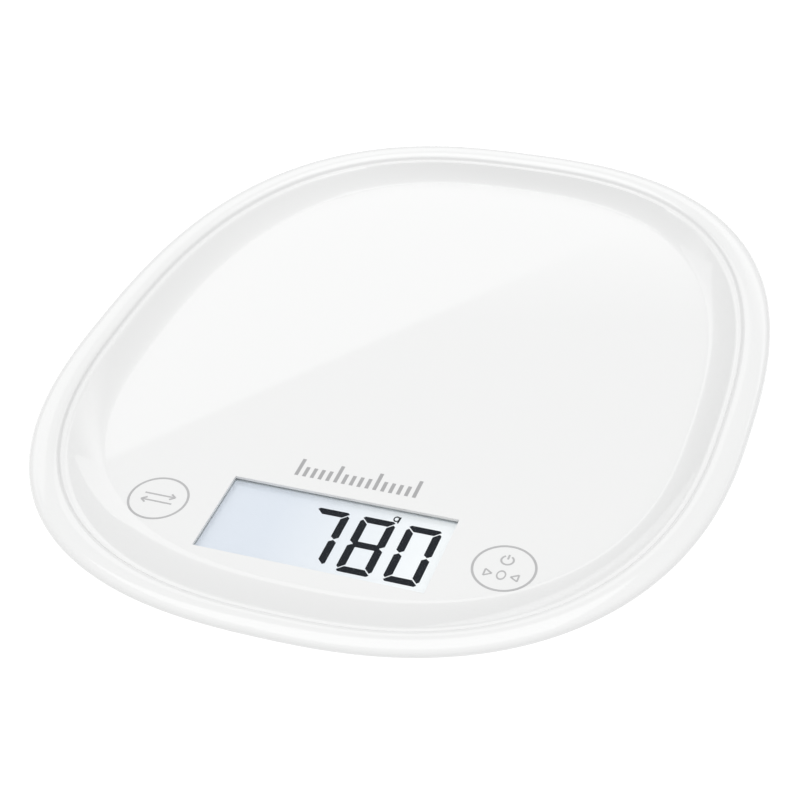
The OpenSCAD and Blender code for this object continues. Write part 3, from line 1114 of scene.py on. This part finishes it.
@dataclass
class Print:
    """The thin printed lines on the platform: two key rings, their icons and a row of ticks.

    Attributes:
        z: the platform's height.
        ink: thickness of the print.
        key_x: distance of each key from the middle.
        ring_r: radius of a key ring's centre line.
        ring_w: width of its stroke.
        line: width of the icons' strokes.
        layer: how much thicker each further layer of print is.
        ticks_at: the middle of the row of ticks.
    """

    z: float
    ink: float = 0.03
    key_x: float = 46.9
    ring_r: float = 7.86
    ring_w: float = 0.62
    line: float = 0.5
    layer: float = 0.012
    ticks_at: Point2 = (0.6, -47.7)

    def stroke(
        self, shape: Shape, start: Point2, end: Point2, width: float | None = None, layer: int = 0
    ) -> None:
        """Adds a straight printed line; where lines cross, each lies on a layer of its own."""
        shape.bar(start, end, width or self.line, self.z, self.z + self.ink + layer * self.layer)

    def bow(self, shape: Shape, centre: Point2, radius: float, width: float, **turn: float) -> None:
        """Adds a curved printed line."""
        shape.arc(centre, radius, width, self.z, self.z + self.ink, **turn)

    def ring(self, name: str, x: float, y: float) -> None:
        """Makes one key ring."""
        shape = Shape()
        self.bow(shape, (x, y), self.ring_r, self.ring_w)
        hand_over(shape.piece(name, Look.PRINT), "housing", "white_cover")

    def swap_icon(self, x: float, y: float) -> None:
        """Makes the change-of-units icon: two arrows that point opposite ways."""
        shape = Shape()
        half, rise, head = 4.3, 1.25, 1.35
        for way in (-1, 1):
            row = y + way * rise
            tip = x + way * half
            self.stroke(shape, (x - way * half, row), (tip, row))
            for side in (-1, 1):
                end = (tip - way * head, row + side * head * 0.75)
                self.stroke(shape, (tip, row), end, layer=side + 2)
        hand_over(shape.piece("swap_icon", Look.PRINT), "housing", "white_cover")

    def power_icon(self, x: float, y: float) -> None:
        """Makes the power icon: an open circle and a bar."""
        shape = Shape()
        radius = 1.55
        self.bow(shape, (x, y), radius, self.line, start=120, turn=300, steps=40)
        self.stroke(shape, (x, y + 0.35), (x, y + radius + 0.45))
        hand_over(shape.piece("power_icon", Look.PRINT), "housing", "white_cover")

    def zero_icon(self, x: float, y: float) -> None:
        """Makes the tare icon: a nought between two small triangles."""
        shape = Shape()
        self.bow(shape, (x, y), 1.45, self.line, squash=0.72, steps=40)
        near, far, rise = 2.4, 4.3, 1.15
        for way in (-1, 1):
            corners = [(x + way * near, y), (x + way * far, y - rise), (x + way * far, y + rise)]
            for layer, (start, end) in enumerate(zip(corners, corners[1:] + corners[:1])):
                self.stroke(shape, start, end, self.line * 0.85, layer)
        hand_over(shape.piece("zero_icon", Look.PRINT), "housing", "white_cover")

    def ticks(self, x: float, y: float) -> None:
        """Makes the row of plain graduation ticks behind the display."""
        shape = Shape()
        count, pitch, width = 16, 2.18, 1.0
        tall, short, group = 6.6, 3.8, 5
        base = y - tall / 2
        for tick in range(count):
            spot = x + (tick - (count - 1) / 2) * pitch
            height = short if tick % group else tall
            self.stroke(shape, (spot, base), (spot, base + height), width)
        hand_over(shape.piece("tick_row", Look.PRINT_FINE), "housing", "white_cover")

    def build(self) -> None:
        """Makes all the print."""
        y = box("display_window").middle.y
        self.ring("units_key_ring", -self.key_x, y)
        self.ring("tare_key_ring", self.key_x, y)
        self.swap_icon(-self.key_x, y)
        self.power_icon(self.key_x, y + 2.9)
        self.zero_icon(self.key_x, y - 2.5)
        self.ticks(*self.ticks_at)


# ---------------------------------------------------------------- feet, door and screws


@dataclass
class Foot:
    """A rubber pad in its plastic cup, which presses on a load cell."""

    corner: str

    def pad(self) -> Shape:
        """The pad, with a rounded edge and ring grooves in its sole."""
        space = box(f"foot_pad_{self.corner}")
        r, low, high = space.size.x / 2, space.low.z, space.high.z
        depth, half = 0.25, 0.35
        sole = [(0, low)]
        for groove in (2.6, 4.6, 6.6):
            sole += [(groove - half, low), (groove - half * 0.6, low + depth),
                     (groove + half * 0.6, low + depth), (groove + half, low)]
        edge = [(r - 0.6, low), (r - 0.22, low + 0.1), (r - 0.04, low + 0.32), (r, low + 0.6)]
        return Shape().turned(space.middle.xy, sole + edge + [(r, high), (0, high)], 96)

    def cup(self) -> Shape:
        """The cup round the pad and the stem above it."""
        space, pad = box(f"foot_cup_{self.corner}"), box(f"foot_pad_{self.corner}")
        r, low, high = space.size.x / 2, space.low.z, space.high.z
        pad_r, floor, shoulder = pad.size.x / 2 + 0.02, pad.high.z, 3.4
        profile = [
            (0, floor), (pad_r, floor), (pad_r, low + 0.15), (pad_r + 0.15, low), (r - 0.3, low),
            (r - 0.08, low + 0.1), (r, low + 0.3), (r, shoulder - 0.4), (r - 0.12, shoulder - 0.12),
            (r - 0.4, shoulder), (3.6, shoulder), (3.2, shoulder + 0.4), (3.2, high - 0.2), (3.0, high),
            (0, high),
        ]
        return Shape().turned(space.middle.xy, profile, 96)

    def build(self) -> None:
        """Makes the pad and the cup."""
        body = f"foot_{self.corner}"
        pad, cup = f"foot_pad_{self.corner}", f"foot_cup_{self.corner}"
        hand_over(self.pad().piece(f"rubber_pad_{self.corner}", Look.PAD, 30), body, "pad_rubber", pad)
        hand_over(self.cup().piece(f"pad_cup_{self.corner}", Look.FOOT, 30), body, "foot_plastic", cup)


@dataclass
class BatteryDoor:
    """The door over the coin cell, hinged at the back.

    Attributes:
        thickness: of the panel.
        barrel_r: radius of the hinge barrel.
        pin_r: radius of the hinge pins.
        grip_lines: grooves for the fingers.
    """

    thickness: float = 1.3
    barrel_r: float = 1.7
    pin_r: float = 0.8
    grip_lines: int = 6

    def rod(self, shape: Shape, radius: float, length: float, y: float, z: float) -> None:
        """Adds a round bar along X."""
        place = Matrix.Translation((0, y, z)) @ Matrix.Rotation(math.pi / 2, 4, "Y")
        made = bmesh.ops.create_cone(
            shape.bm, cap_ends=True, segments=40, radius1=radius, radius2=radius, depth=length, matrix=place
        )
        edges = {e for v in made["verts"] for e in v.link_edges}
        rims = {e for e in edges if abs(e.verts[0].co.x - e.verts[1].co.x) < 1e-4}
        shape.soften(rims, 0.12, 1)

    def build(self) -> None:
        """Makes the door with its grip, hinge barrel, pins and hold-down ribs."""
        space = box("battery_door")
        low, high = space.low, space.high
        axis_y, axis_z = high.y - self.barrel_r, low.z + self.barrel_r
        half = 14.9
        shape = Shape()
        shape.block((-half, low.y, low.z), (half, axis_y, low.z + self.thickness), 0.22, 3)
        coin = box("coin_cell").middle
        door = shape.piece("coin_door", Look.HOUSING)
        grooves = Shape()
        grooves.block((-5, low.y + 0.2, low.z - 1), (5, low.y + 2.2, low.z + 0.6), 0.25)
        for line in range(self.grip_lines):
            y = low.y + 3.4 + line * 1.3
            grooves.block((-6, y, low.z - 0.6), (6, y + 0.55, low.z + 0.3), 0.08, 1)
        carve(door, grooves)
        hand_over(door, "door", "white_housing", "battery_door")
        hinge = Shape()
        self.rod(hinge, self.barrel_r, 2 * half, axis_y, axis_z)
        self.rod(hinge, self.pin_r, space.size.x, axis_y, axis_z)
        for x in (-5, 5):
            top = low.z + self.thickness
            hinge.block((x - 0.6, coin.y - 6, top - 0.1), (x + 0.6, coin.y + 6, top + 0.4), 0.12)
        hand_over(hinge.piece("coin_door_hinge", Look.HOUSING), "door", "white_housing")


@dataclass(frozen=True)
class ScrewKind:
    """A pan-head screw with a cross recess, head down."""

    head_r: float
    head_h: float
    shank_r: float
    pitch: float = 0.9

    def add(self, shape: Shape, spot: Point2, low: float, tip: float) -> None:
        """Adds one screw.

        Args:
            shape: the shape to add to.
            spot: its axis.
            low: height of the underside of its head.
            tip: height of its tip.
        """
        r, top = self.head_r, low + self.head_h
        core, pitch = self.shank_r * 0.8, self.pitch
        dome = [(0, low), (r * 0.55, low + self.head_h * 0.06), (r * 0.85, low + self.head_h * 0.25),
                (r, low + self.head_h * 0.6), (r, top), (core, top)]
        thread = []
        z = top + pitch * 0.5
        while z < tip - pitch:
            thread += [(core, z), (self.shank_r, z + pitch * 0.25), (core, z + pitch * 0.5)]
            z += pitch
        shape.turned(spot, dome + thread + [(core, tip - 0.4), (0, tip)], 32)


@dataclass
class Screws:
    """All the screws, one piece for each kind."""

    case: ScrewKind = ScrewKind(2.4, 1.2, 1.2)
    small: ScrewKind = ScrewKind(1.6, 0.9, 0.8, 0.7)

    def recess(self, spots: Iterable[Point2], low: float, kind: ScrewKind) -> Shape:
        """The crosses that are cut into the heads."""
        shape = Shape()
        arm, half, depth = kind.head_r * 0.6, kind.head_r * 0.12, kind.head_h * 0.55
        for x, y in spots:
            shape.block((x - arm, y - half, low - 0.3), (x + arm, y + half, low + depth))
            shape.block((x - half, y - arm, low - 0.3), (x + half, y - half, low + depth))
            shape.block((x - half, y + half, low - 0.3), (x + half, y + arm, low + depth))
        return shape

    def group(self, name: str, node: str, spots: list[Point2], kind: ScrewKind) -> None:
        """Makes one group of identical screws."""
        space = box(node)
        shape = Shape()
        for spot in spots:
            kind.add(shape, spot, space.low.z, space.high.z)
        made = shape.piece(name, Look.SCREW)
        carve(made, self.recess(spots, space.low.z, kind))
        hand_over(made, "housing", "screw_steel", node)

    def build(self) -> None:
        """Makes the three groups."""
        self.group("housing_screws", "case_screws", FIXINGS.case, self.case)
        self.group("circuit_screws", "board_screws", FIXINGS.board, self.small)
        self.group("bracket_screws", "carrier_screws", FIXINGS.carrier, self.small)


# ---------------------------------------------------------------- the CAD pieces that stay


@dataclass
class Internals:
    """The CAD nodes whose shape is right: each keeps its mesh and gets its finish."""

    finishes: dict[str, Finish] = field(default_factory=lambda: {
        "display_window": Look.PANE,
        "window_gasket": Look.FOAM,
        "lcd_cell": Look.DISPLAY,
        "lcd_frame": Look.INNER,
        "backlight_panel": Look.GUIDE,
        "lcd_connector_strip": Look.ELASTOMER,
        "main_board": Look.BOARD,
        "board_chips": Look.CHIP,
        "units_key_spring": Look.WIRE,
        "tare_key_spring": Look.WIRE,
        "strain_gauges": Look.GAUGE,
        "load_cell_leads": Look.RED_LEAD,
        "coin_cell": Look.COIN,
        "battery_contact_negative": Look.CONTACT,
        "battery_contact_positive": Look.CONTACT,
        "battery_leads": Look.BLACK_LEAD,
    })

    def build(self) -> None:
        """Dresses every CAD node that is still shown."""
        for corner in FEET:
            self.finishes[f"load_cell_{corner}"] = Look.CELL
            self.finishes[f"cell_carrier_{corner}"] = Look.INNER
        for node, finish in self.finishes.items():
            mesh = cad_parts[node].data
            mesh.materials.clear()
            mesh.materials.append(finish.material())
            log.info("%s: CAD piece in %s", node, finish.name)


# ---------------------------------------------------------------- studio


@dataclass
class Studio:
    """A plain floor, soft lights and the camera.

    Attributes:
        azimuth: degrees round from the front, to the right.
        elevation: degrees above the floor.
        roll: degrees by which the camera leans.
        distance: camera to target, in metres.
        lens: focal length on the 36 mm sensor.
        target: the point looked at, in metres.
        platform: height of the glossy platform, in metres.
        floor_half: half the floor's width.
        room: brightness of the room all round.
        sky: how much brighter it is straight overhead.
        horizon: how much brighter it is just above the back wall.
        walls: how much dimmer the back wall is low down.
        fill: how much brighter it is in front.
        glint: two points on the straight edge of the card's reflection, in metres.
        card_height: height of the card above the floor.
    """

    platform: float
    azimuth: float = 22.13
    elevation: float = 38.17
    roll: float = -4.06
    distance: float = 0.4935
    lens: float = 80.87
    target: Point3 = (0.0, -0.0138, 0.0116)
    floor_half: float = 12.0
    room: float = 0.70
    sky: float = 0.85
    horizon: float = 0.9
    walls: float = 0.28
    fill: float = 0.12
    glint: tuple[Point2, Point2] = ((-0.0644, -0.0554), (0.0314, 0.0743))
    card_height: float = 0.6

    def aim(self) -> Vector:
        """The direction from the target to the camera."""
        a, e = math.radians(self.azimuth), math.radians(self.elevation)
        return Vector((math.sin(a) * math.cos(e), -math.cos(a) * math.cos(e), math.sin(e)))

    def eye(self) -> Vector:
        """Where the camera stands."""
        return Vector(self.target) + self.aim() * self.distance

    def camera(self) -> None:
        """Sets up the camera."""
        a, r = math.radians(self.azimuth), math.radians(self.roll)
        back = self.aim()
        level = Vector((math.cos(a), math.sin(a), 0))
        rise = back.cross(level)
        right = level * math.cos(r) + rise * math.sin(r)
        up = rise * math.cos(r) - level * math.sin(r)
        data = bpy.data.cameras.new("camera")
        data.lens = self.lens
        data.clip_start = 0.01
        data.clip_end = 100
        camera = bpy.data.objects.new("camera", data)
        turn = Matrix((right, up, back)).transposed().to_4x4()
        camera.matrix_world = Matrix.Translation(self.eye()) @ turn
        bpy.context.scene.collection.objects.link(camera)
        bpy.context.scene.camera = camera

    def glowing(self, name: str, albedo: float, glow: float) -> bpy.types.Material:
        """A matte white that gives off a little light of its own."""
        graph = Graph(bpy.data.materials.new(name))
        return graph.shade(
            {
                "Base Color": (albedo, albedo, albedo, 1.0),
                "Roughness": 0.9,
                "Specular IOR Level": 0.0,
                "Emission Color": (1.0, 1.0, 1.0, 1.0),
                "Emission Strength": glow,
            }
        )

    def sheet(self, name: str, corners: Sequence[Point3], material: bpy.types.Material) -> bpy.types.Object:
        """A flat stage piece between corners, in metres."""
        bm = bmesh.new()
        bm.faces.new([bm.verts.new(c) for c in corners])
        mesh = bpy.data.meshes.new(name)
        bm.to_mesh(mesh)
        bm.free()
        mesh.materials.append(material)
        obj = bpy.data.objects.new(name, mesh)
        bpy.context.scene.collection.objects.link(obj)
        return obj

    def lamp(self, name: str, place: Point3, aim: Point3, size: Point2, radiance: float) -> None:
        """A soft rectangular light.

        Args:
            name: its name.
            place: where it stands, in metres.
            aim: the point that it faces.
            size: its width and height.
            radiance: brightness of its face.
        """
        data = bpy.data.lights.new(name, "AREA")
        data.shape = "RECTANGLE"
        data.size, data.size_y = size
        data.energy = radiance * size[0] * size[1] * math.pi
        light = bpy.data.objects.new(name, data)
        toward = (Vector(aim) - Vector(place)).to_track_quat("-Z", "Y")
        light.matrix_world = Matrix.Translation(place) @ toward.to_matrix().to_4x4()
        bpy.context.scene.collection.objects.link(light)

    def card(self, name: str, corners: Sequence[Point3], material: bpy.types.Material) -> None:
        """A white card that shows in the gloss and not to the camera."""
        self.sheet(name, corners, material).visible_camera = False

    def world(self) -> None:
        """A white room: brighter overhead, in front and just above the back wall."""
        world = bpy.data.worlds.new("studio")
        graph = Graph(world)
        way = graph.add("ShaderNodeTexCoord").outputs["Generated"]
        height = Wire(graph, graph.add("ShaderNodeSeparateXYZ", None, {0: way}).outputs[2])
        overhead = height.between(0.65, 1.0)
        behind = Wire(graph, graph.dot(way, (-0.25, 0.97, 0.0))).between(0.35, 0.7)
        band = (1.0 - height.between(0.53, 0.585)) * height.between(0.44, 0.50)
        low = 1.0 - height.between(0.30, 0.48)
        front = Wire(graph, graph.dot(way, (0.3, -0.85, 0.3))).between(0.0, 0.8)
        strength = self.room + overhead * self.sky + behind * band * self.horizon
        strength = strength - behind * low * self.walls + front * self.fill
        back = graph.add("ShaderNodeBackground", None, {"Color": (1, 1, 1, 1), "Strength": strength})
        graph.add("ShaderNodeOutputWorld", None, {0: back.outputs[0]})
        bpy.context.scene.world = world

    def mirrored(self, point: Point2) -> Vector:
        """Where a card at card_height has to be for the camera to see it in a point of the platform."""
        eye = self.eye()
        reach = (self.card_height - self.platform) / (eye.z - self.platform)
        return Vector(point) + (Vector(point) - eye.xy) * reach

    def floor(self) -> None:
        """A wide white floor."""
        reach = self.floor_half
        corners = [(-reach, -reach, 0), (reach, -reach, 0), (reach, reach, 0), (-reach, reach, 0)]
        self.sheet("floor", corners, self.glowing("floor_white", albedo=0.25, glow=0.86))

    def side_card(self) -> None:
        """A card over the back left, whose straight edge shows as a line across the platform."""
        start, end = (self.mirrored(point) for point in self.glint)
        run = (end - start).normalized()
        width = Vector((-run.y, run.x)) * 0.55
        near, far = start - run * 0.25, end + run * 0.35
        corners = [(*p, self.card_height) for p in (near, far, far + width, near + width)]
        self.card("side_card", corners, self.glowing("card_white", albedo=0.3, glow=1.03))

    def build(self) -> None:
        """Makes the floor, the card, the light, the world and the camera."""
        self.floor()
        self.side_card()
        self.lamp("top_softbox", (-0.3, 0.48, 1.4), (0, 0, 0), (0.95, 0.95), 1.4)
        self.world()
        bpy.context.scene.view_settings.view_transform = "Standard"
        self.camera()


# ---------------------------------------------------------------- build order


def main() -> None:
    """Builds the scale from the outside in, then the studio round it."""
    logging.basicConfig(level=logging.INFO, format="%(name)s: %(message)s")
    outline = Outline()
    cover = TopCover(outline)
    cover.build()
    BottomCover(outline).build()
    Display().build()
    Print(cover.platform).build()
    for corner in FEET:
        Foot(corner).build()
    BatteryDoor().build()
    Screws().build()
    Internals().build()
    Studio(cover.platform * MM).build()


if __name__ == "__main__":
    main()
